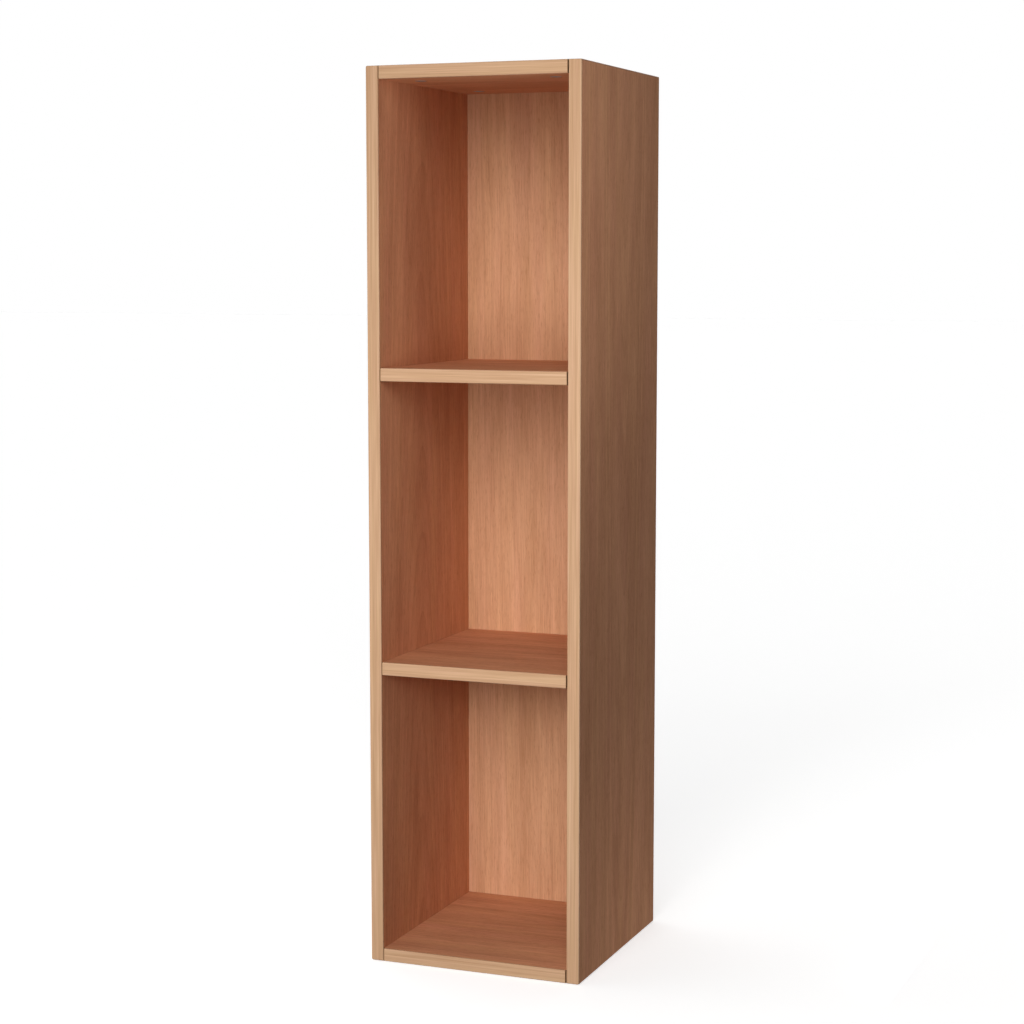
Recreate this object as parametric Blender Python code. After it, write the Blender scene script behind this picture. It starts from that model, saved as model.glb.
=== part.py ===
"""Narrow office shelf with three equal compartments, built as a knock-down kit of boards.

Two full-height sides carry a top, two fixed shelves and a bottom. Each horizontal board is drawn
against the sides by cam locks that grip bolts screwed into the sides, with a dowel at mid-depth to
line it up. A thin back panel slides in grooves. Metres, +Z up, front towards -Y, origin on the
floor below the middle of the shelf.
"""
import math

import bmesh
import bpy

MM = 0.001

# Carcass
HEIGHT = 1100 * MM
WIDTH = 275 * MM
DEPTH = 290 * MM
BOARD = 16 * MM
JOINT_GAP = 0.3 * MM

# Edge bands: an arris takes up at most ARRIS_SHARE of its band's thickness, and BAND_TRIM is cut off
# each end of the bands between the sides
FRONT_BAND = 2 * MM
END_BAND = 1 * MM
BAND_ARRIS = 1.5 * MM
ARRIS_SHARE = 0.9
BAND_CORNER = 2 * MM
BAND_TRIM = 0.5 * MM

# Back panel and the grooves that hold it
BACK = 3 * MM
BACK_INSET = 8 * MM
GROOVE_DEPTH = 6 * MM

# Cam bolt: a thread in the side, a collar in the joint, a shank, a neck and a mushroom head
BOLT_THREAD_LENGTH = 11 * MM
BOLT_THREAD_RADIUS = 2.5 * MM
BOLT_TIP_LENGTH = 1.5 * MM
BOLT_TIP_RADIUS = 1.2 * MM
BOLT_COLLAR_LENGTH = 1.2 * MM
BOLT_COLLAR_RADIUS = 3.6 * MM
BOLT_SHANK_RADIUS = 2.8 * MM
BOLT_NECK_RADIUS = 1.75 * MM
BOLT_HEAD_RADIUS = 3 * MM
BOLT_HEAD_LENGTH = 2.6 * MM
BOLT_HEAD_TAPER = 0.6 * MM
BORE_PLAY = 0.35 * MM

# Cam lock: a drum in a blind bore, with a spiral hollow that draws the bolt's head in
CAM_REACH = 34 * MM
CAM_FRONT_SETBACK = 50 * MM
CAM_REAR_SETBACK = 45 * MM
CAM_GRIP_RADIUS = 5 * MM
CAM_THROW = 1 * MM
CAM_WALL = 0.9 * MM
CAM_ROOF = 0.9 * MM
CAM_RECESS = 0.3 * MM
CAM_PLAY = 0.35 * MM
CAM_SWING = math.pi
CROSS_LENGTH = 9 * MM
CROSS_WIDTH = 1.6 * MM
CROSS_DEPTH = 2.2 * MM

# Dowel
DOWEL_RADIUS = 4 * MM
DOWEL_LENGTH = 30 * MM
DOWEL_IN_SIDE = 10 * MM
DOWEL_CHAMFER = 1 * MM

# Facets of the round pieces
CAM_SIDES = 20
HOLLOW_STEPS = 10
POST_STEPS = 6
ROUND_SIDES = 10
CORNER_STEPS = 3
SHARP_ANGLE = math.radians(40)

# Cutters run this far past the face that they open
OVERCUT = 1 * MM

# Places that follow from the sizes
INNER_X = WIDTH / 2 - BOARD
SPAN = 2 * (INNER_X - JOINT_GAP)
FRONT_Y = -DEPTH / 2
CORE_FRONT_Y = FRONT_Y + FRONT_BAND + JOINT_GAP
REAR_Y = DEPTH / 2
BACK_REAR_Y = REAR_Y - BACK_INSET
BACK_FRONT_Y = BACK_REAR_Y - BACK
SHELF_REAR_Y = BACK_FRONT_Y - JOINT_GAP
CLEAR_HEIGHT = (HEIGHT - 4 * BOARD) / 3
STOREY = CLEAR_HEIGHT + BOARD

# Horizontal boards: node name, short name for its fittings, height of its underside, depth, groove
BOARDS = (
    ("bottom_panel", "bottom", 0, REAR_Y, "top"),
    ("lower_shelf", "lower", STOREY, SHELF_REAR_Y, None),
    ("upper_shelf", "upper", 2 * STOREY, SHELF_REAR_Y, None),
    ("top_panel", "top", HEIGHT - BOARD, REAR_Y, "underside"),
)
SIDES = (("left", -1), ("right", 1))
CAM_ROWS = (("front", FRONT_Y + CAM_FRONT_SETBACK), ("rear", BACK_FRONT_Y - CAM_REAR_SETBACK))
DOWEL_Y = sum(y for _, y in CAM_ROWS) / len(CAM_ROWS)

# Cam sizes that follow from the bolt that it grips
BOLT_AXIS = BOARD / 2
HOLLOW_HALF = BOLT_HEAD_RADIUS + CAM_PLAY
CAM_TOP = BOLT_AXIS + HOLLOW_HALF + CAM_ROOF
CAM_BORE_DEPTH = CAM_TOP + JOINT_GAP
WALL_LOCKED = CAM_GRIP_RADIUS + CAM_PLAY
WALL_OPEN = WALL_LOCKED + CAM_THROW
CAM_RADIUS = WALL_OPEN + CAM_WALL
HEAD_END_RADIUS = CAM_GRIP_RADIUS - BOLT_HEAD_LENGTH
POST_RADIUS = HEAD_END_RADIUS - CAM_PLAY
CAM_BORE_RADIUS = (CAM_RADIUS + CAM_PLAY) / math.cos(math.pi / CAM_SIDES)
CAM_X = INNER_X - JOINT_GAP - CAM_REACH

for leftover in list(bpy.data.objects):
    bpy.data.objects.remove(leftover, do_unlink=True)


def finish(name, red, green, blue, roughness, metallic=0.0):
    """A plain material with one linear colour."""
    material = bpy.data.materials.new(name)
    material.use_nodes = True
    shader = material.node_tree.nodes["Principled BSDF"]
    shader.inputs["Base Color"].default_value = (red, green, blue, 1)
    shader.inputs["Roughness"].default_value = roughness
    shader.inputs["Metallic"].default_value = metallic
    return material


def to_object(name, shape):
    """Turn a closed bmesh into a named object, with its faces pointing out."""
    bmesh.ops.recalc_face_normals(shape, faces=shape.faces)
    mesh = bpy.data.meshes.new(name)
    shape.to_mesh(mesh)
    shape.free()
    piece = bpy.data.objects.new(name, mesh)
    bpy.context.collection.objects.link(piece)
    return piece


def prism(name, outline, low, high):
    """Stand an outline in X and Y up from one height to another."""
    shape = bmesh.new()
    base = shape.faces.new([shape.verts.new((x, y, low)) for x, y in outline])
    raised = bmesh.ops.extrude_face_region(shape, geom=[base])["geom"]
    corners = [part for part in raised if isinstance(part, bmesh.types.BMVert)]
    bmesh.ops.translate(shape, vec=(0, 0, high - low), verts=corners)
    return to_object(name, shape)


def box(name, low, high):
    """A block between two opposite corners, given in any order."""
    (x0, x1), (y0, y1), (z0, z1) = (sorted(pair) for pair in zip(low, high))
    return prism(name, [(x0, y0), (x1, y0), (x1, y1), (x0, y1)], z0, z1)


def turned(name, profile, sides):
    """Turn a profile of (distance along X, radius) points about X, with flat ends."""
    shape = bmesh.new()
    points = [shape.verts.new((along, 0, radius)) for along, radius in profile]
    edges = [shape.edges.new(pair) for pair in zip(points, points[1:])]
    bmesh.ops.spin(shape, geom=points + edges, cent=(0, 0, 0), axis=(1, 0, 0), dvec=(0, 0, 0),
                   angle=2 * math.pi, steps=sides, use_merge=True)
    bmesh.ops.holes_fill(shape, edges=shape.edges, sides=0)
    return to_object(name, shape)


def carve(piece, cutter):
    """Cut one object out of another and drop the cutter."""
    cut = piece.modifiers.new("cut", "BOOLEAN")
    cut.operation = "DIFFERENCE"
    cut.solver = "EXACT"
    cut.object = cutter
    bpy.context.view_layer.update()
    evaluated = piece.evaluated_get(bpy.context.evaluated_depsgraph_get())
    carved = bpy.data.meshes.new_from_object(evaluated)
    piece.modifiers.clear()
    piece.data = carved
    bpy.data.objects.remove(cutter, do_unlink=True)


def bore(piece, x, y, z, depth, radius):
    """Drill along X into a board: depth is positive towards +X, from the face at x."""
    back_out = -math.copysign(OVERCUT, depth)
    drill = turned("drill", [(back_out, radius), (depth, radius)], ROUND_SIDES)
    drill.location = (x, y, z)
    carve(piece, drill)


def dress(piece, material):
    """Give a piece its material and shade its round faces smooth."""
    piece.data.materials.clear()
    piece.data.materials.append(material)
    piece.data.shade_smooth()
    piece.data.set_sharp_from_angle(angle=SHARP_ANGLE)
    return piece


def arc(centre_x, centre_y, radius, start, end, steps):
    """Points along an arc, ends included."""
    angles = [start + (end - start) * step / steps for step in range(steps + 1)]
    return [(centre_x + radius * math.cos(a), centre_y + radius * math.sin(a)) for a in angles]


def band(name, width, length, thickness, round_corner_side=0, round_ends=True):
    """A strip of edge band lying face up, centred on its back face.

    Its long arrises are rounded, and its end arrises too if round_ends is set. The two corners on
    the side that round_corner_side gives, -1 or +1 along X, are rounded in plan.
    """
    half_x, half_y = width / 2, length / 2
    outline = []
    for turn, (sign_x, sign_y) in enumerate(((1, 1), (-1, 1), (-1, -1), (1, -1))):
        corner = (sign_x * half_x, sign_y * half_y)
        if sign_x != round_corner_side:
            outline.append(corner)
            continue
        start = turn * math.pi / 2
        outline += arc(corner[0] - sign_x * BAND_CORNER, corner[1] - sign_y * BAND_CORNER, BAND_CORNER,
                       start, start + math.pi / 2, CORNER_STEPS)
    strip = prism(name, outline, 0, thickness)
    shape = bmesh.new()
    shape.from_mesh(strip.data)
    face_edges = [e for e in shape.edges if all(v.co.z > thickness / 2 for v in e.verts)]
    if not round_ends:
        face_edges = [e for e in face_edges if e.verts[0].co.x * e.verts[1].co.x > 0]
    arris = min(BAND_ARRIS, ARRIS_SHARE * thickness)
    bmesh.ops.bevel(shape, geom=face_edges, offset=arris, segments=CORNER_STEPS, profile=0.5,
                    affect="EDGES")
    shape.to_mesh(strip.data)
    shape.free()
    return strip


board_face = finish("beech_melamine", 0.50, 0.24, 0.125, 0.45)
band_face = finish("beech_edge_band", 0.60, 0.37, 0.22, 0.4)
hardboard = finish("hardboard", 0.42, 0.22, 0.12, 0.7)
zinc = finish("die_cast_zinc", 0.62, 0.62, 0.60, 0.4, 1.0)
steel = finish("plated_steel", 0.70, 0.68, 0.62, 0.3, 1.0)
beech = finish("solid_beech", 0.60, 0.40, 0.22, 0.6)

# Sides: bored for the bolts and dowels, and grooved from end to end for the back panel
for side, sign in SIDES:
    panel = box(f"side_panel_{side}",
                (sign * INNER_X, CORE_FRONT_Y, END_BAND + JOINT_GAP),
                (sign * WIDTH / 2, REAR_Y, HEIGHT - END_BAND - JOINT_GAP))
    groove = box("groove",
                 (sign * (INNER_X - OVERCUT), BACK_FRONT_Y - JOINT_GAP, -OVERCUT),
                 (sign * (INNER_X + GROOVE_DEPTH), BACK_REAR_Y + JOINT_GAP, HEIGHT + OVERCUT))
    carve(panel, groove)
    for _, _, underside, _, _ in BOARDS:
        axis_z = underside + BOLT_AXIS
        for _, y in CAM_ROWS:
            bore(panel, sign * INNER_X, y, axis_z,
                 sign * (BOLT_THREAD_LENGTH + JOINT_GAP), BOLT_THREAD_RADIUS + BORE_PLAY)
        bore(panel, sign * INNER_X, DOWEL_Y, axis_z,
             sign * (DOWEL_IN_SIDE + JOINT_GAP), DOWEL_RADIUS + BORE_PLAY)
    dress(panel, board_face)

    front = band(f"front_band_side_{side}", BOARD, HEIGHT, FRONT_BAND, round_corner_side=sign)
    front.rotation_euler = (math.pi / 2, 0, 0)
    front.location = (sign * (WIDTH - BOARD) / 2, FRONT_Y + FRONT_BAND, HEIGHT / 2)
    dress(front, band_face)

    for end, back_z, roll in (("top", HEIGHT - END_BAND, 0), ("bottom", END_BAND, math.pi)):
        strip = band(f"end_band_{side}_{end}", BOARD, REAR_Y - CORE_FRONT_Y, END_BAND)
        strip.rotation_euler = (roll, 0, 0)
        strip.location = (sign * (WIDTH - BOARD) / 2, (REAR_Y + CORE_FRONT_Y) / 2, back_z)
        dress(strip, band_face)

# Horizontal boards: bored in the ends for bolts and dowels, and in the underside for the cams
for name, _, underside, rear_y, grooved in BOARDS:
    board = box(name, (-SPAN / 2, CORE_FRONT_Y, underside), (SPAN / 2, rear_y, underside + BOARD))
    if grooved:
        mouth_z = underside if grooved == "underside" else underside + BOARD
        inward = 1 if grooved == "underside" else -1
        carve(board, box("groove",
                         (-WIDTH, BACK_FRONT_Y - JOINT_GAP, mouth_z - inward * OVERCUT),
                         (WIDTH, BACK_REAR_Y + JOINT_GAP, mouth_z + inward * GROOVE_DEPTH)))
    for _, sign in SIDES:
        end_x = sign * SPAN / 2
        axis_z = underside + BOLT_AXIS
        for _, y in CAM_ROWS:
            bore(board, end_x, y, axis_z, -sign * CAM_REACH, BOLT_COLLAR_RADIUS + BORE_PLAY)
            mouth = arc(sign * CAM_X, y, CAM_BORE_RADIUS, 0, 2 * math.pi, CAM_SIDES)[:-1]
            carve(board, prism("cam_bore", mouth, underside - OVERCUT, underside + CAM_BORE_DEPTH))
        bore(board, end_x, DOWEL_Y, axis_z, -sign * (DOWEL_LENGTH - DOWEL_IN_SIDE), DOWEL_RADIUS + BORE_PLAY)
    dress(board, board_face)

    front = band(f"front_band_{name}", BOARD, SPAN - 2 * BAND_TRIM, FRONT_BAND, round_ends=False)
    front.rotation_euler = (math.pi / 2, math.pi / 2, 0)
    front.location = (0, FRONT_Y + FRONT_BAND, underside + BOARD / 2)
    dress(front, band_face)

# Back panel, loose in the grooves of the sides, top and bottom
back = box("back_panel",
           (-INNER_X - GROOVE_DEPTH + JOINT_GAP, BACK_FRONT_Y, BOARD - GROOVE_DEPTH + JOINT_GAP),
           (INNER_X + GROOVE_DEPTH - JOINT_GAP, BACK_REAR_Y, HEIGHT - BOARD + GROOVE_DEPTH - JOINT_GAP))
dress(back, hardboard)


def spiral_wall(start, end, steps):
    """Points along the cam's spiral wall, which is closest to the axis at the locked end."""
    points = []
    for step in range(steps + 1):
        angle = start + (end - start) * step / steps
        radius = WALL_LOCKED + CAM_THROW * min(max(angle / CAM_SWING, 0), 1)
        points.append((radius * math.cos(angle), radius * math.sin(angle)))
    return points


def cam_lock():
    """One cam, standing on the board's underside with its axis on Z, locked on a bolt along +X."""
    drum = prism("cam", arc(0, 0, CAM_RADIUS, 0, 2 * math.pi, CAM_SIDES)[:-1], CAM_RECESS, CAM_TOP)

    # The hollow turns round a post, and its mouth lets the bolt's head in when the cam is open
    head_corner = (HEAD_END_RADIUS + BOLT_HEAD_TAPER, BOLT_HEAD_RADIUS)
    head_half = math.atan2(head_corner[1], head_corner[0]) + math.asin(CAM_PLAY / math.hypot(*head_corner))
    mouth_half = math.asin(HOLLOW_HALF / WALL_OPEN)
    mouth_x = -CAM_RADIUS - OVERCUT
    hollow = spiral_wall(-head_half, CAM_SWING - mouth_half, HOLLOW_STEPS)
    hollow += [(mouth_x, HOLLOW_HALF), (mouth_x, -HOLLOW_HALF)]
    hollow += spiral_wall(CAM_SWING + mouth_half, CAM_SWING + head_half, 1)
    hollow += arc(0, 0, POST_RADIUS, CAM_SWING + head_half, -head_half, POST_STEPS)
    carve(drum, prism("hollow", hollow, BOLT_AXIS - HOLLOW_HALF, BOLT_AXIS + HOLLOW_HALF))

    # A slot in the wall clears the bolt's neck all the way through the swing
    neck_gap = BOLT_NECK_RADIUS + CAM_PLAY
    neck_half = math.asin(neck_gap / WALL_LOCKED)
    inside, outside = WALL_LOCKED - CAM_PLAY, CAM_RADIUS + OVERCUT
    slot = arc(0, 0, outside, -neck_half, CAM_SWING + neck_half, HOLLOW_STEPS)
    slot += arc(0, 0, inside, CAM_SWING + neck_half, -neck_half, HOLLOW_STEPS)
    carve(drum, prism("slot", slot, BOLT_AXIS - neck_gap, BOLT_AXIS + neck_gap))

    # A cross in the face takes the screwdriver
    long, short = CROSS_LENGTH / 2, CROSS_WIDTH / 2
    cross = []
    for arm_x, arm_y in ((1, 0), (0, 1), (-1, 0), (0, -1)):
        for out, over in ((long, -short), (long, short), (short, short)):
            cross.append((out * arm_x - over * arm_y, out * arm_y + over * arm_x))
    carve(drum, prism("cross", cross, CAM_RECESS - OVERCUT, CAM_RECESS + CROSS_DEPTH))
    dress(drum, zinc)
    mesh = drum.data
    bpy.data.objects.remove(drum, do_unlink=True)
    return mesh


def cam_bolt():
    """One bolt along X, with its thread towards +X and the side's inner face at the origin."""
    axis_x = -(JOINT_GAP + CAM_REACH)
    collar_x = -JOINT_GAP
    shoulder_x = axis_x + CAM_GRIP_RADIUS
    end_x = shoulder_x - BOLT_HEAD_LENGTH
    profile = [
        (BOLT_THREAD_LENGTH, BOLT_TIP_RADIUS),
        (BOLT_THREAD_LENGTH - BOLT_TIP_LENGTH, BOLT_THREAD_RADIUS),
        (collar_x, BOLT_THREAD_RADIUS),
        (collar_x, BOLT_COLLAR_RADIUS),
        (collar_x - BOLT_COLLAR_LENGTH, BOLT_COLLAR_RADIUS),
        (collar_x - BOLT_COLLAR_LENGTH, BOLT_SHANK_RADIUS),
        (axis_x + CAM_BORE_RADIUS, BOLT_SHANK_RADIUS),
        (axis_x + CAM_BORE_RADIUS, BOLT_NECK_RADIUS),
        (shoulder_x, BOLT_NECK_RADIUS),
        (shoulder_x - BOLT_HEAD_TAPER, BOLT_HEAD_RADIUS),
        (end_x + BOLT_HEAD_TAPER, BOLT_HEAD_RADIUS),
        (end_x, BOLT_NECK_RADIUS),
    ]
    bolt = dress(turned("bolt", profile, ROUND_SIDES), steel)
    mesh = bolt.data
    bpy.data.objects.remove(bolt, do_unlink=True)
    return mesh


def dowel_pin():
    """One dowel along X, with the side's inner face at the origin and its short end towards +X."""
    inner_end = DOWEL_IN_SIDE - DOWEL_LENGTH
    profile = [
        (DOWEL_IN_SIDE, DOWEL_RADIUS - DOWEL_CHAMFER),
        (DOWEL_IN_SIDE - DOWEL_CHAMFER, DOWEL_RADIUS),
        (inner_end + DOWEL_CHAMFER, DOWEL_RADIUS),
        (inner_end, DOWEL_RADIUS - DOWEL_CHAMFER),
    ]
    pin = dress(turned("dowel", profile, ROUND_SIDES), beech)
    mesh = pin.data
    bpy.data.objects.remove(pin, do_unlink=True)
    return mesh


def place(name, mesh, x, y, z, sign):
    """Set a copy of a fitting at one end of a board; at the left end it faces the other way."""
    piece = bpy.data.objects.new(name, mesh)
    piece.location = (sign * x, y, z)
    piece.rotation_euler = (0, 0, 0 if sign > 0 else math.pi)
    bpy.context.collection.objects.link(piece)


# Fittings: each cam's origin lies on the axis that it turns about
cam_mesh, bolt_mesh, dowel_mesh = cam_lock(), cam_bolt(), dowel_pin()
for _, board, underside, _, _ in BOARDS:
    for side, sign in SIDES:
        for row, y in CAM_ROWS:
            place(f"cam_{board}_{side}_{row}", cam_mesh, CAM_X, y, underside, sign)
            place(f"bolt_{board}_{side}_{row}", bolt_mesh, INNER_X, y, underside + BOLT_AXIS, sign)
        place(f"dowel_{board}_{side}", dowel_mesh, INNER_X, DOWEL_Y, underside + BOLT_AXIS, sign)
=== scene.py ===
import math

import bmesh
import bpy
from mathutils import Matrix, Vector


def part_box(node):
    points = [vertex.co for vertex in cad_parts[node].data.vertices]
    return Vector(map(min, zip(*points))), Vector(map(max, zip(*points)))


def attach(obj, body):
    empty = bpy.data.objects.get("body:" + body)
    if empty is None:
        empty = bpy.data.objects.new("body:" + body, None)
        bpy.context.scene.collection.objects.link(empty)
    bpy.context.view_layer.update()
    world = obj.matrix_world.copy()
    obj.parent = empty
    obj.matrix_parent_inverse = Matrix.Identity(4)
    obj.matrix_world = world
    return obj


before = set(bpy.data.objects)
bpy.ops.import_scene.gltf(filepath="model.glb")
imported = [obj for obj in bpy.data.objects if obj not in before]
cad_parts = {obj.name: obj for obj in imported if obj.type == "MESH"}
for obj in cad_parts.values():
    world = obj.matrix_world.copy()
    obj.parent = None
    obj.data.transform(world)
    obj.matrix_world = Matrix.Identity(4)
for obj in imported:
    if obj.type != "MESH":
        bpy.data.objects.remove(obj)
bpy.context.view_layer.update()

# Side panels. Two full-height boards of 16 mm chipboard, faced on both sides with paper that is printed
# as beech and pressed on with melamine resin. They are sawn to size, so raw chips show along the rear.
MM = 0.001
BOARD_COLOURS = ("#DCA376", "#DD9B7B"), "#B97E5B"
BOARD_GLOSS = 0.015
PRINT_DEPTH = 0.05 * MM
RING_WIDTH = 5 * MM  # about twice as wide as real rings, which would be too fine to show
RING_SWAY = 9 * MM
LATE_WOOD_POWER = 5  # leaves a thin dark line at the end of each year's growth
BASE_TONE = -0.69  # brings the sum of the layers to about the middle of the colours
CHIP_COLOURS = "#C69A6C", "#E9C9A2"
CHIP_DUST = "#8E6344"
CHIP_LENGTH = 3.2 * MM
CHIP_THICKNESS = 1.2 * MM
CHIP_DEPTH = 0.4 * MM
GLUED_EDGE = "#2E2118"


def linear(hex_colour):
    """The linear RGBA of an sRGB hex colour."""
    channels = [int(hex_colour[start:start + 2], 16) / 255 for start in (1, 3, 5)]
    return [c / 12.92 if c <= 0.04045 else ((c + 0.055) / 1.055) ** 2.4 for c in channels] + [1]


def add(tree, kind, inputs=None, **settings):
    """Add a node with its settings, and give each input a value, or a link from a socket or a node.

    A node stands for its first output. Of the sockets of a Mix node, 2 and 3 take numbers and 0 gives
    one, and 6 and 7 take colours and 2 gives one.
    """
    made = tree.nodes.new("ShaderNode" + kind)
    for name, value in settings.items():
        setattr(made, name, value)
    for key, value in (inputs or {}).items():
        if isinstance(value, bpy.types.Node):
            value = value.outputs[0]
        if isinstance(value, bpy.types.NodeSocket):
            tree.links.new(value, made.inputs[key])
        else:
            made.inputs[key].default_value = value
    return made


def new_material(name):
    """A material with an empty node tree."""
    material = bpy.data.materials.new(name)
    material.use_nodes = True
    material.node_tree.nodes.clear()
    return material, material.node_tree


def dress(start, material):
    """Put a material on each CAD node whose name starts in this way."""
    for name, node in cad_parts.items():
        if name.startswith(start):
            node.material_slots[0].material = material


def beech_print(tree, turn, pith, pale_colours, dark_colour):
    """The colour and relief of a beech print: growth rings cut from a log, fibres, flecks and clouds.

    turn, in degrees, brings the log's length to Z and leans it a little against the board, so that the
    rings run out into long arches. pith is the log's middle, measured after the turn.
    """
    log = add(tree, "Mapping", {
        "Vector": add(tree, "TexCoord").outputs["Object"],
        "Rotation": [math.radians(angle) for angle in turn],
        "Location": pith,
    })
    layers = {}
    for layer, width, length, detail in (("sway", 90, 420, 2), ("clouds", 28, 200, 2),
                                         ("warmth", 22, 300, 1), ("fibres", 1.3, 40, 2),
                                         ("flecks", 0.9, 9, 1)):  # sizes in mm
        size = (width * MM, width * MM, length * MM)
        cells = add(tree, "VectorMath", {0: log, 1: size}, operation="DIVIDE")
        layers[layer] = add(tree, "TexNoise", {"Vector": cells, "Scale": 1, "Detail": detail})

    bent = add(tree, "VectorMath", {
        0: layers["sway"].outputs["Color"], 1: (RING_SWAY, RING_SWAY, 0), 2: log,
    }, operation="MULTIPLY_ADD")
    cross = add(tree, "VectorMath", {0: bent, 1: (1, 1, 0)}, operation="MULTIPLY")
    radius = add(tree, "VectorMath", {0: cross}, operation="LENGTH").outputs["Value"]
    count = add(tree, "Math", {0: radius, 1: RING_WIDTH}, operation="DIVIDE")
    rings = add(tree, "TexNoise", {"W": count, "Scale": 1, "Detail": 2}, noise_dimensions="1D")
    year = add(tree, "Math", {0: count}, operation="FRACT")
    late_wood = add(tree, "Math", {0: year, 1: LATE_WOOD_POWER}, operation="POWER")
    flecks = add(tree, "MapRange", {"Value": layers["flecks"], "From Min": 0.58, "From Max": 0.70})

    tone = BASE_TONE
    for layer, share in ((layers["clouds"], 1.1), (rings, 0.5), (layers["fibres"], 1.1),
                         (late_wood, -0.2), (flecks, -0.4)):
        tone = add(tree, "Math", {0: layer, 1: share, 2: tone}, operation="MULTIPLY_ADD")
    yellow, pink = [linear(colour) for colour in pale_colours]
    pale = add(tree, "Mix", {0: layers["warmth"], 6: yellow, 7: pink}, data_type="RGBA").outputs[2]
    colour = add(tree, "Mix", {0: tone, 6: linear(dark_colour), 7: pale}, data_type="RGBA").outputs[2]
    relief = add(tree, "Math", {0: layers["fibres"], 1: flecks}, operation="SUBTRACT")
    return colour, relief


def chipboard(tree, thin_axis):
    """The colour and relief of sawn chipboard: pale and brown chips, pressed flat along thin_axis."""
    place = add(tree, "TexCoord").outputs["Object"]
    chip = [CHIP_LENGTH] * 3
    chip[thin_axis] = CHIP_THICKNESS
    cells = add(tree, "VectorMath", {0: place, 1: chip}, operation="DIVIDE")
    chips = add(tree, "TexVoronoi", {"Vector": cells, "Scale": 1})
    dust = add(tree, "TexNoise", {"Vector": cells, "Scale": 3, "Detail": 2})
    tint = add(tree, "SeparateColor", {"Color": chips.outputs["Color"]})
    brown, pale = [linear(colour) for colour in CHIP_COLOURS]
    clean = add(tree, "Mix", {0: tint, 6: brown, 7: pale}, data_type="RGBA").outputs[2]
    dusted = add(tree, "Math", {0: dust, 1: 0.5}, operation="MULTIPLY")
    colour = add(tree, "Mix", {0: dusted, 6: clean, 7: linear(CHIP_DUST)}, data_type="RGBA").outputs[2]
    return colour, chips.outputs["Distance"]


def melamine_board(name, face_axis, turn, pith):
    """Beech-printed melamine on chipboard: an even matt print on the faces, and rough raw chips at the
    edges, which glue darkens under the front band.
    """
    material, tree = new_material(name)
    print_colour, print_relief = beech_print(tree, turn, pith, *BOARD_COLOURS)
    chip_colour, chip_relief = chipboard(tree, face_axis)
    facing = add(tree, "SeparateXYZ", {0: add(tree, "TexCoord").outputs["Normal"]})
    flat = add(tree, "Math", {0: facing.outputs[face_axis]}, operation="ABSOLUTE")
    raw = add(tree, "Math", {0: flat, 1: 0.5}, operation="LESS_THAN")
    glued = add(tree, "Math", {0: facing.outputs["Y"], 1: -0.5}, operation="LESS_THAN")
    edge_colour = add(tree, "Mix", {
        0: glued, 6: chip_colour, 7: linear(GLUED_EDGE),
    }, data_type="RGBA").outputs[2]
    colour = add(tree, "Mix", {0: raw, 6: print_colour, 7: edge_colour}, data_type="RGBA").outputs[2]
    print_roughness = add(tree, "Math", {0: print_relief, 1: -0.2, 2: 0.7}, operation="MULTIPLY_ADD")
    roughness = add(tree, "Mix", {0: raw, 2: print_roughness, 3: 0.9})
    relief = add(tree, "Mix", {0: raw, 2: print_relief, 3: chip_relief})
    depth = add(tree, "Mix", {0: raw, 2: PRINT_DEPTH, 3: CHIP_DEPTH})
    bump = add(tree, "Bump", {"Strength": 0.5, "Distance": depth, "Height": relief})
    shader = add(tree, "BsdfPrincipled", {
        "Base Color": colour, "Roughness": roughness, "Normal": bump, "Specular IOR Level": BOARD_GLOSS,
    })
    add(tree, "OutputMaterial", {"Surface": shader})
    return material


for side, lean, pith in (("left", 2.4, (0.19, 0.02, 0.3)), ("right", -2.1, (-0.08, -0.015, -0.4))):
    dress(f"side_panel_{side}", melamine_board(f"beech_melamine_{side}", 0, (0.4, lean, 0), pith))

# Top, shelves and bottom. Four boards of the same chipboard, cut between the sides with the print's grain
# running across, and drawn against the sides by the fittings below.
LEVEL_BOARDS = "top_panel", "upper_shelf", "lower_shelf", "bottom_panel"
LEVEL_TURN = (0, -88.5, 0)
PITH_RISE = 70 * MM  # of the log's middle above the underside of the board
PITH_FORWARD = 50 * MM
PITH_STEP = 30 * MM  # from board to board, so that no two look alike

for place, board in enumerate(LEVEL_BOARDS):
    pith = (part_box(board)[0].z + PITH_RISE, PITH_FORWARD - place * PITH_STEP, place)
    dress(board, melamine_board(f"beech_melamine_{board}", 2, LEVEL_TURN, pith))

# Edge bands. Strips of ABS with a straight beech print, 2 mm thick and pale on the front edges, 1 mm thick
# and as dark as the faces on the ends of the sides. They are glued on, milled flush and rounded.
FRONT_COLOURS = ("#DDB98D", "#E0B396"), "#BA8E69"
END_COLOURS = ("#CE9A6E", "#CF9374"), "#AA7754"
ABS_BROWN = "#84603F"
BAND_GLOSS = 0.2
BAND_DEPTH = 0.05 * MM
BAND_TONE = -0.65  # brings the sum of the streaks to about the middle of the colours
# Width of the dark ends of the middle bands: a real glue line, drawn wider and darker so that it also
# paints the shade in the gap at each joint.
GLUE_AND_GAP_SHADE = 0.7 * MM  # about twice as wide as the real one, which would be too fine to show


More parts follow.
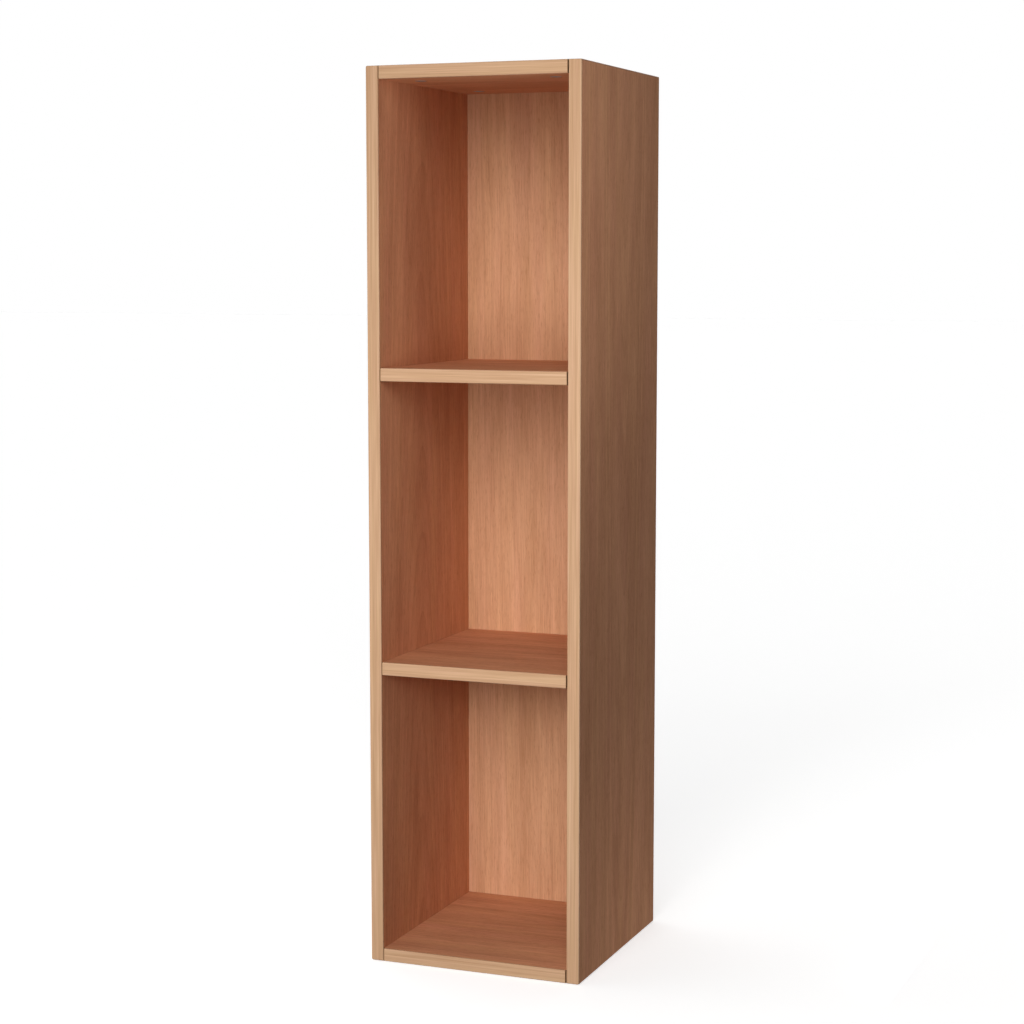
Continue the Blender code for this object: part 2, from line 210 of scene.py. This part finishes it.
def abs_band(name, grain_axis, pale_colours, dark_colour, half_length=None):
    """Printed ABS band: straight streaks along its length, a soft shine, and plain brown ABS at its ends.

    A band with a half_length lies across the middle, between two others; its ends there are darkened, as a
    glue line and as painted shade of the joint's gap.
    """
    material, tree = new_material(name)
    place = add(tree, "TexCoord").outputs["Object"]
    streaks = {}
    for streak, width, length, detail in (("broad", 2.4, 190, 2), ("fine", 1.0, 70, 2),
                                          ("warmth", 5, 160, 1)):  # sizes in mm
        size = [width * MM] * 3
        size[grain_axis] = length * MM
        cells = add(tree, "VectorMath", {0: place, 1: size}, operation="DIVIDE")
        streaks[streak] = add(tree, "TexNoise", {"Vector": cells, "Scale": 1, "Detail": detail})

    tone = BAND_TONE
    for streak, share in (("broad", 1.3), ("fine", 1.0)):
        tone = add(tree, "Math", {0: streaks[streak], 1: share, 2: tone}, operation="MULTIPLY_ADD")
    yellow, pink = [linear(colour) for colour in pale_colours]
    pale = add(tree, "Mix", {0: streaks["warmth"], 6: yellow, 7: pink}, data_type="RGBA").outputs[2]
    face = add(tree, "Mix", {0: tone, 6: linear(dark_colour), 7: pale}, data_type="RGBA").outputs[2]
    facing = add(tree, "SeparateXYZ", {0: add(tree, "TexCoord").outputs["Normal"]})
    along = add(tree, "Math", {0: facing.outputs[grain_axis]}, operation="ABSOLUTE")
    plain = add(tree, "Math", {0: along, 1: 0.9}, operation="GREATER_THAN")
    # A middle band's ends are darkened brown: partly a real glue line, partly painted shade standing for
    # the gap at the joint.
    if half_length:
        across = add(tree, "SeparateXYZ", {0: place}).outputs[grain_axis]
        reach = add(tree, "Math", {0: across}, operation="ABSOLUTE")
        glued = add(tree, "Math", {0: reach, 1: half_length - GLUE_AND_GAP_SHADE}, operation="GREATER_THAN")
        plain = add(tree, "Math", {0: plain, 1: glued}, operation="MAXIMUM")
    colour = add(tree, "Mix", {0: plain, 6: face, 7: linear(ABS_BROWN)}, data_type="RGBA").outputs[2]
    roughness = add(tree, "Math", {0: streaks["fine"], 1: -0.2, 2: 0.55}, operation="MULTIPLY_ADD")
    bump = add(tree, "Bump", {"Strength": 0.4, "Distance": BAND_DEPTH, "Height": streaks["fine"]})
    shader = add(tree, "BsdfPrincipled", {
        "Base Color": colour, "Roughness": roughness, "Normal": bump, "Specular IOR Level": BAND_GLOSS,
    })
    add(tree, "OutputMaterial", {"Surface": shader})
    return material


level_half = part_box("front_band_top_panel")[1].x
level_band = abs_band("beech_abs_level", 0, *FRONT_COLOURS, level_half)
for board in LEVEL_BOARDS:
    dress(f"front_band_{board}", level_band)
dress("front_band_side", abs_band("beech_abs_upright", 2, *FRONT_COLOURS))
dress("end_band", abs_band("beech_abs_ends", 1, *END_COLOURS))

# Back panel. A 3 mm hardboard sheet, printed as beech on the front and left raw and brown behind, that
# slides in grooves in the sides, top and bottom.
BACK_COLOURS = ("#DCAC80", "#DBA486"), "#BC8A65"
BACK_GLOSS = 0.03
BACK_TURN = (0, 0.6, 0)
BACK_PITH = (0.03, -0.05, 0.7)
RAW_COLOURS = "#80573B", "#B58A64"
RAW_FIBRE = 2.5 * MM
RAW_CLOUD = 60 * MM
MESH_PITCH = 4 * MM  # about twice the real pitch, which would be too fine to show
MESH_DEPTH = 0.15 * MM


def printed_hardboard(name):
    """Hardboard: the beech print faces the compartments, and the rear is matt, fibrous and brown, with the
    imprint of the wire mesh that it was pressed on.
    """
    material, tree = new_material(name)
    print_colour, print_relief = beech_print(tree, BACK_TURN, BACK_PITH, *BACK_COLOURS)
    place = add(tree, "TexCoord")
    spot = place.outputs["Object"]
    fibres = add(tree, "TexNoise", {"Vector": spot, "Scale": 1 / RAW_FIBRE, "Detail": 4})
    clouds = add(tree, "TexNoise", {"Vector": spot, "Scale": 1 / RAW_CLOUD, "Detail": 2})
    mottle = 0
    for layer, share in ((clouds, 0.4), (fibres, 0.6)):
        mottle = add(tree, "Math", {0: layer, 1: share, 2: mottle}, operation="MULTIPLY_ADD")
    dark, pale = [linear(colour) for colour in RAW_COLOURS]
    raw_colour = add(tree, "Mix", {0: mottle, 6: dark, 7: pale}, data_type="RGBA").outputs[2]
    facing = add(tree, "SeparateXYZ", {0: place.outputs["Normal"]}).outputs["Y"]
    raw = add(tree, "Math", {0: facing, 1: -0.5}, operation="GREATER_THAN")
    colour = add(tree, "Mix", {0: raw, 6: print_colour, 7: raw_colour}, data_type="RGBA").outputs[2]
    roughness = add(tree, "Mix", {0: raw, 2: 0.55, 3: 0.8})
    phase = add(tree, "VectorMath", {0: spot, "Scale": 2 * math.pi / MESH_PITCH}, operation="SCALE")
    wires = add(tree, "SeparateXYZ", {0: add(tree, "VectorMath", {0: phase}, operation="SINE")})
    mesh = add(tree, "Math", {0: wires.outputs["X"], 1: wires.outputs["Z"]}, operation="MULTIPLY")
    raw_relief = add(tree, "Math", {0: mesh, 1: fibres}, operation="ADD")
    relief = add(tree, "Mix", {0: raw, 2: print_relief, 3: raw_relief})
    bump = add(tree, "Bump", {"Strength": 0.4, "Distance": MESH_DEPTH, "Height": relief})
    shader = add(tree, "BsdfPrincipled", {
        "Base Color": colour, "Roughness": roughness, "Normal": bump, "Specular IOR Level": BACK_GLOSS,
    })
    add(tree, "OutputMaterial", {"Surface": shader})
    return material


dress("back_panel", printed_hardboard("beech_printed_hardboard"))

# Dowels. Pins of solid beech, one at the middle of each board's end, which keep the board level while the
# fittings beside them are drawn tight.
PIN_COLOURS = "#B5875C", "#E0BC90"
PIN_FIBRE = (40 * MM, 0.6 * MM, 0.6 * MM)
PIN_DEPTH = 0.1 * MM


def solid_beech(name):
    """Turned solid beech: pale, dry and matt, with fine fibres along the pin."""
    material, tree = new_material(name)
    place = add(tree, "TexCoord").outputs["Object"]
    cells = add(tree, "VectorMath", {0: place, 1: PIN_FIBRE}, operation="DIVIDE")
    fibres = add(tree, "TexNoise", {"Vector": cells, "Scale": 1, "Detail": 3})
    dark, pale = [linear(colour) for colour in PIN_COLOURS]
    colour = add(tree, "Mix", {0: fibres, 6: dark, 7: pale}, data_type="RGBA").outputs[2]
    bump = add(tree, "Bump", {"Strength": 0.5, "Distance": PIN_DEPTH, "Height": fibres})
    shader = add(tree, "BsdfPrincipled", {"Base Color": colour, "Roughness": 0.75, "Normal": bump})
    add(tree, "OutputMaterial", {"Surface": shader})
    return material


dress("dowel", solid_beech("solid_beech"))

# Cam bolts. Turned steel bolts, zinc plated, with a coarse rolled thread that is screwed into the side and
# a mushroom head that stands out of it into the end of the board.
STEEL_COLOURS = "#A9A494", "#DAD7CC"
STEEL_MOTTLE = 1.5 * MM
THREAD_PITCH = 1.6 * MM
THREAD_DEPTH = 0.4 * MM


def plated_steel(name, thread_start):
    """Zinc-plated steel: bright, slightly mottled metal, ridged from thread_start outwards."""
    material, tree = new_material(name)
    place = add(tree, "TexCoord").outputs["Object"]
    mottle = add(tree, "TexNoise", {"Vector": place, "Scale": 1 / STEEL_MOTTLE, "Detail": 3})
    dark, bright = [linear(colour) for colour in STEEL_COLOURS]
    colour = add(tree, "Mix", {0: mottle, 6: dark, 7: bright}, data_type="RGBA").outputs[2]
    roughness = add(tree, "Math", {0: mottle, 1: 0.2, 2: 0.2}, operation="MULTIPLY_ADD")
    across = add(tree, "SeparateXYZ", {0: place}).outputs["X"]
    reach = add(tree, "Math", {0: across}, operation="ABSOLUTE")
    ridge = add(tree, "Math", {0: reach, 1: THREAD_PITCH / 2}, operation="PINGPONG")
    threaded = add(tree, "Math", {0: reach, 1: thread_start}, operation="GREATER_THAN")
    height = add(tree, "Math", {0: ridge, 1: threaded}, operation="MULTIPLY")
    bump = add(tree, "Bump", {
        "Strength": 1, "Distance": THREAD_DEPTH / (THREAD_PITCH / 2), "Height": height,
    })
    shader = add(tree, "BsdfPrincipled", {
        "Base Color": colour, "Metallic": 1, "Roughness": roughness, "Normal": bump,
    })
    add(tree, "OutputMaterial", {"Surface": shader})
    return material


dress("bolt", plated_steel("zinc_plated_steel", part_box("side_panel_right")[0].x))

# Cam locks. Drums of die-cast zinc in blind bores in the undersides of the boards, turned by screwdriver to
# draw the bolts in. A rim and an arrow are cast on the face, and the arrow shows where the mouth is.
ZINC_COLOURS = "#868989", "#C2C4C2"
ZINC_BLOTCH = 3 * MM
ZINC_GRAIN = 0.3 * MM
ZINC_DEPTH = 0.05 * MM
RIM_SIDES = 64
RIM_WIDTH = 0.7 * MM
RIM_HEIGHT = 0.2 * MM
RIM_ROUND = 0.1 * MM
RIM_CREASE = math.radians(30)
ARROW_TIP = 6.2 * MM
ARROW_LENGTH = 1.2 * MM
ARROW_WIDTH = 2 * MM


def cast_zinc(name):
    """Die-cast zinc: dull grey metal, uneven in tone, with the fine grain of its mould."""
    material, tree = new_material(name)
    place = add(tree, "TexCoord").outputs["Object"]
    blotches = add(tree, "TexNoise", {"Vector": place, "Scale": 1 / ZINC_BLOTCH, "Detail": 3})
    grain = add(tree, "TexNoise", {"Vector": place, "Scale": 1 / ZINC_GRAIN, "Detail": 2})
    dark, bright = [linear(colour) for colour in ZINC_COLOURS]
    colour = add(tree, "Mix", {0: blotches, 6: dark, 7: bright}, data_type="RGBA").outputs[2]
    roughness = add(tree, "Math", {0: blotches, 1: 0.2, 2: 0.35}, operation="MULTIPLY_ADD")
    bump = add(tree, "Bump", {"Strength": 0.3, "Distance": ZINC_DEPTH, "Height": grain})
    shader = add(tree, "BsdfPrincipled", {
        "Base Color": colour, "Metallic": 1, "Roughness": roughness, "Normal": bump,
    })
    add(tree, "OutputMaterial", {"Surface": shader})
    return material


def cam_marks(radius, material):
    """The mesh of a cam's rim and arrow, hanging below the origin, with the mouth towards -X."""
    shape = bmesh.new()
    inner = radius - RIM_WIDTH
    profile = ((radius, 0), (radius, RIM_ROUND - RIM_HEIGHT), (radius - RIM_ROUND, -RIM_HEIGHT),
               (inner + RIM_ROUND, -RIM_HEIGHT), (inner, RIM_ROUND - RIM_HEIGHT), (inner, 0))
    points = [shape.verts.new((out, 0, up)) for out, up in profile]
    edges = [shape.edges.new((points[place - 1], points[place])) for place in range(len(points))]
    bmesh.ops.spin(shape, geom=points + edges, cent=(0, 0, 0), axis=(0, 0, 1), dvec=(0, 0, 0),
                   angle=2 * math.pi, steps=RIM_SIDES, use_merge=True)
    base = ARROW_LENGTH - ARROW_TIP
    corners = ((-ARROW_TIP, 0), (base, -ARROW_WIDTH / 2), (base, ARROW_WIDTH / 2))
    arrow = shape.faces.new([shape.verts.new((x, y, 0)) for x, y in corners])
    raised = bmesh.ops.extrude_face_region(shape, geom=[arrow])["geom"]
    lower = [part for part in raised if isinstance(part, bmesh.types.BMVert)]
    bmesh.ops.translate(shape, vec=(0, 0, -RIM_HEIGHT), verts=lower)
    bmesh.ops.recalc_face_normals(shape, faces=shape.faces)
    mesh = bpy.data.meshes.new("cam_marks")
    shape.to_mesh(mesh)
    shape.free()
    mesh.materials.append(material)
    mesh.shade_smooth()
    mesh.set_sharp_from_angle(angle=RIM_CREASE)
    return mesh


zinc = cast_zinc("die_cast_zinc")
dress("cam", zinc)
low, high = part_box("cam_top_right_front")
marks = cam_marks((high.y - low.y) / 2, zinc)
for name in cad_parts:
    if not name.startswith("cam"):
        continue
    low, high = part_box(name)
    piece = bpy.data.objects.new(f"{name}_marks", marks)
    piece.location = ((low.x + high.x) / 2, (low.y + high.y) / 2, low.z)
    piece.rotation_euler.z = math.pi if "_left_" in name else 0
    bpy.context.collection.objects.link(piece)
    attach(piece, name)

# Floor. A pale studio floor with no edge in sight. It shows white and takes the shelf's shadow, but throws
# no light back, and the camera looks through it from below.
FLOOR_SIZE = 60.0
FLOOR_DROP = 0.5 * MM
FLOOR_COLOUR = "#E4E4E4"
FLOOR_GLOW = 0.578  # as much as the paint lacks of white in the light of this studio


def seen(tree):
    """1 for the rays that show the background: straight to the camera, or by way of metal or glass."""
    path = add(tree, "LightPath")
    rays = path.outputs["Is Camera Ray"]
    for kind in ("Is Glossy Ray", "Is Transmission Ray"):
        rays = add(tree, "Math", {0: rays, 1: path.outputs[kind]}, operation="MAXIMUM")
    return rays


def floor_paint(name):
    """Pale matt paint: it glows to the eye, so that it shows white, and is clear from below."""
    material, tree = new_material(name)
    strength = add(tree, "Math", {0: seen(tree), 1: FLOOR_GLOW}, operation="MULTIPLY")
    glow = add(tree, "Emission", {"Strength": strength})
    paint = add(tree, "BsdfDiffuse", {"Color": linear(FLOOR_COLOUR)})
    upper_side = add(tree, "AddShader", {0: glow, 1: paint})
    from_below = add(tree, "NewGeometry").outputs["Backfacing"]
    surface = add(tree, "MixShader", {0: from_below, 1: upper_side, 2: add(tree, "BsdfTransparent")})
    add(tree, "OutputMaterial", {"Surface": surface})
    return material


mesh = bpy.data.meshes.new("floor")
half = FLOOR_SIZE / 2
corners = [(-half, -half, 0), (half, -half, 0), (half, half, 0), (-half, half, 0)]
mesh.from_pydata(corners, [], [range(len(corners))])
mesh.materials.append(floor_paint("pale_floor"))
floor = bpy.data.objects.new("floor", mesh)
floor.location.z = -FLOOR_DROP
floor.visible_diffuse = False
floor.visible_shadow = False
bpy.context.collection.objects.link(floor)

# Light. A soft studio, whose walls are bright at the left and behind, and white to the camera. A broad key
# light stands in front, with small fills before the compartments and beside the right panel. A lamp and a
# faint glow from below stand for the light that a pale floor throws back.
WALL_LEVEL = 0.16
WALL_SLOPE = 1.0
WALL_LEAST = 0.01
BRIGHT_SIDE = (-0.85, 0.52, 0.1)
GROUND_LEVEL = 0.15
WHITE = (1, 1, 1, 1)
KEY_STRENGTH = 1.82
KEY_SPREAD = math.radians(40)
KEY_HEIGHT = math.radians(20)
KEY_TURN = math.radians(10)
FILL_SIZE = 0.3
FILLS = (  # name, watts, place, target
    ("side_fill", 1.5, (0.7, -0.4, 0.86), (0.14, -0.4, 1.4)),
    ("floor_bounce", 0.22, (0.45, 0.06, -0.06), (0.14, 0.06, 0.2)),
    ("front_fill", 3.0, (0.15, -1.05, 0.6), (-0.1, -0.1, 0.6)),
)

scene = bpy.context.scene
world = bpy.data.worlds.new("soft_studio")
world.use_nodes = True
tree = world.node_tree
tree.nodes.clear()
direction = add(tree, "TexCoord").outputs["Generated"]
towards = add(tree, "VectorMath", {0: direction, 1: BRIGHT_SIDE}, operation="DOT_PRODUCT").outputs["Value"]
level = add(tree, "Math", {0: towards, 1: WALL_SLOPE, 2: WALL_LEVEL}, operation="MULTIPLY_ADD")
height = add(tree, "SeparateXYZ", {0: direction}).outputs["Z"]
ground = add(tree, "Math", {0: height, 1: -GROUND_LEVEL}, operation="MULTIPLY")
for least in (WALL_LEAST, ground):
    level = add(tree, "Math", {0: level, 1: least}, operation="MAXIMUM")
walls = add(tree, "Background", {"Color": WHITE, "Strength": level})
backdrop = add(tree, "Background", {"Color": WHITE, "Strength": 1})
studio = add(tree, "MixShader", {0: seen(tree), 1: walls, 2: backdrop})
add(tree, "OutputWorld", {"Surface": studio})
scene.world = world

key = bpy.data.lights.new("key", "SUN")
key.energy = KEY_STRENGTH
key.angle = KEY_SPREAD
key_lamp = bpy.data.objects.new("key", key)
key_lamp.rotation_euler = (math.pi / 2 - KEY_HEIGHT, 0, KEY_TURN)
bpy.context.collection.objects.link(key_lamp)
for name, watts, place, target in FILLS:
    fill = bpy.data.lights.new(name, "AREA")
    fill.shape = "DISK"
    fill.size = FILL_SIZE
    fill.energy = watts
    lamp = bpy.data.objects.new(name, fill)
    lamp.location = place
    lamp.rotation_euler = (Vector(target) - lamp.location).to_track_quat("-Z", "Y").to_euler()
    bpy.context.collection.objects.link(lamp)

# Camera. A long lens, in front of the shelf and to its right, a little lower than its top. It looks
# slightly down, so that the whole height is in the picture.
CAMERA_LENS = 80.21
CAMERA_SENSOR = 36
CAMERA_PLACE = (1.045, -2.6586, 0.8692)
CAMERA_DIP = math.radians(6.309)
CAMERA_TURN = math.radians(21.571)
lens = bpy.data.cameras.new("camera")
lens.lens = CAMERA_LENS
lens.sensor_width = CAMERA_SENSOR
camera = bpy.data.objects.new("camera", lens)
camera.location = CAMERA_PLACE
camera.rotation_euler = (math.pi / 2 - CAMERA_DIP, 0, CAMERA_TURN)
bpy.context.collection.objects.link(camera)
scene.camera = camera
scene.view_settings.view_transform = "Standard"
